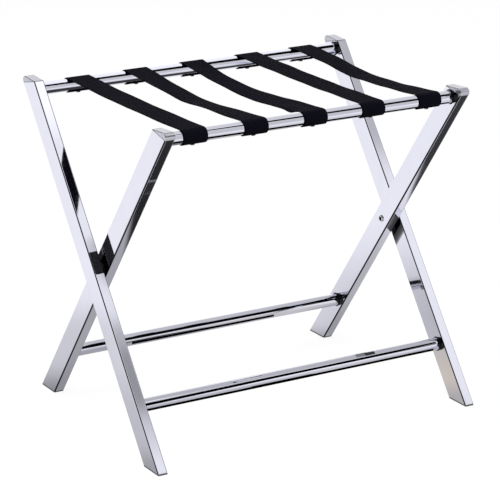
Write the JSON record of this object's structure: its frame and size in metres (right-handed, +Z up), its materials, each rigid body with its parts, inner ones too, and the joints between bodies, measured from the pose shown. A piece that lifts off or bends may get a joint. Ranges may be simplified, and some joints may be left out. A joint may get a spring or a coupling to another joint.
{
  "type": "folding luggage rack",
  "caption": "Folding luggage rack: two crossing frames of bright flat-sided tube turn on a side pivot, with round rails and black webbing straps across the top.",
  "frame": {"origin": "middle of the footprint on the floor", "axes": "+X along the rails to the right, -Y to the front, +Z up"},
  "size_m": [0.62, 0.472, 0.5637],
  "materials": {
    "chrome": "mirror polished",
    "cap": "satin silver grey",
    "foot": "matt dark grey-green",
    "bolt_steel": "plated",
    "screw_steel": "plated",
    "nylon": "moulded",
    "webbing": "woven black"
  },
  "bodies": {
    "outer_frame": {"outer_leg_left": "chrome", "outer_leg_right": "chrome", "outer_cap_left": "cap", "outer_cap_right": "cap", "outer_foot_left": "foot", "outer_foot_right": "foot", "back_top_rail": "chrome", "front_bottom_rail": "chrome", "pivot_bolt_left": "bolt_steel", "pivot_bolt_right": "bolt_steel", "pivot_spacer_left": "nylon", "pivot_spacer_right": "nylon", "pivot_nut_left": "bolt_steel", "pivot_nut_right": "bolt_steel", "strap_screws_back": "screw_steel"},
    "inner_frame": {"inner_leg_left": "chrome", "inner_leg_right": "chrome", "inner_cap_left": "cap", "inner_cap_right": "cap", "inner_foot_left": "foot", "inner_foot_right": "foot", "front_top_rail": "chrome", "back_bottom_rail": "chrome", "pivot_bush_left": "nylon", "pivot_bush_right": "nylon", "strap_screws_front": "screw_steel"},
    "strap_1_back": {"strap_1_back": "webbing"},
    "strap_1_front": {"strap_1_front": "webbing"},
    "strap_2_back": {"strap_2_back": "webbing"},
    "strap_2_front": {"strap_2_front": "webbing"},
    "strap_3_back": {"strap_3_back": "webbing"},
    "strap_3_front": {"strap_3_front": "webbing"},
    "strap_4_back": {"strap_4_back": "webbing"},
    "strap_4_front": {"strap_4_front": "webbing"},
    "strap_5_back": {"strap_5_back": "webbing"},
    "strap_5_front": {"strap_5_front": "webbing"}
  },
  "joints": [
    {"name": "fold", "type": "hinge", "parent": "outer_frame", "child": "inner_frame", "pos_m": [0, 0, 0.281], "axis": [-1, 0, 0], "range_deg": [0, 66]},
    {"name": "strap_1_back_drape", "type": "hinge", "parent": "outer_frame", "child": "strap_1_back", "pos_m": [0, 0.19784, 0.5445], "axis": [1, 0, 0], "range_deg": [0, 55], "deforming": ["strap_1_back"]},
    {"name": "strap_1_front_drape", "type": "hinge", "parent": "inner_frame", "child": "strap_1_front", "pos_m": [0, -0.19784, 0.5445], "axis": [-1, 0, 0], "range_deg": [0, 55], "deforming": ["strap_1_front"]},
    {"name": "strap_2_back_drape", "type": "hinge", "parent": "outer_frame", "child": "strap_2_back", "pos_m": [0, 0.19784, 0.5445], "axis": [1, 0, 0], "range_deg": [0, 52], "deforming": ["strap_2_back"]},
    {"name": "strap_2_front_drape", "type": "hinge", "parent": "inner_frame", "child": "strap_2_front", "pos_m": [0, -0.19784, 0.5445], "axis": [-1, 0, 0], "range_deg": [0, 52], "deforming": ["strap_2_front"]},
    {"name": "strap_3_back_drape", "type": "hinge", "parent": "outer_frame", "child": "strap_3_back", "pos_m": [0, 0.19784, 0.5445], "axis": [1, 0, 0], "range_deg": [0, 51], "deforming": ["strap_3_back"]},
    {"name": "strap_3_front_drape", "type": "hinge", "parent": "inner_frame", "child": "strap_3_front", "pos_m": [0, -0.19784, 0.5445], "axis": [-1, 0, 0], "range_deg": [0, 51], "deforming": ["strap_3_front"]},
    {"name": "strap_4_back_drape", "type": "hinge", "parent": "outer_frame", "child": "strap_4_back", "pos_m": [0, 0.19784, 0.5445], "axis": [1, 0, 0], "range_deg": [0, 55], "deforming": ["strap_4_back"]},
    {"name": "strap_4_front_drape", "type": "hinge", "parent": "inner_frame", "child": "strap_4_front", "pos_m": [0, -0.19784, 0.5445], "axis": [-1, 0, 0], "range_deg": [0, 55], "deforming": ["strap_4_front"]},
    {"name": "strap_5_back_drape", "type": "hinge", "parent": "outer_frame", "child": "strap_5_back", "pos_m": [0, 0.19784, 0.5445], "axis": [1, 0, 0], "range_deg": [0, 52], "deforming": ["strap_5_back"]},
    {"name": "strap_5_front_drape", "type": "hinge", "parent": "inner_frame", "child": "strap_5_front", "pos_m": [0, -0.19784, 0.5445], "axis": [-1, 0, 0], "range_deg": [0, 52], "deforming": ["strap_5_front"]}
  ],
  "couplings": [
    {"joint": "strap_1_back_drape", "follows": "fold", "ratio": 0.8108},
    {"joint": "strap_1_front_drape", "follows": "fold", "ratio": 0.8108},
    {"joint": "strap_2_back_drape", "follows": "fold", "ratio": 0.7783},
    {"joint": "strap_2_front_drape", "follows": "fold", "ratio": 0.7783},
    {"joint": "strap_3_back_drape", "follows": "fold", "ratio": 0.7625},
    {"joint": "strap_3_front_drape", "follows": "fold", "ratio": 0.7625},
    {"joint": "strap_4_back_drape", "follows": "fold", "ratio": 0.8108},
    {"joint": "strap_4_front_drape", "follows": "fold", "ratio": 0.8108},
    {"joint": "strap_5_back_drape", "follows": "fold", "ratio": 0.7783},
    {"joint": "strap_5_front_drape", "follows": "fold", "ratio": 0.7783}
  ]
}
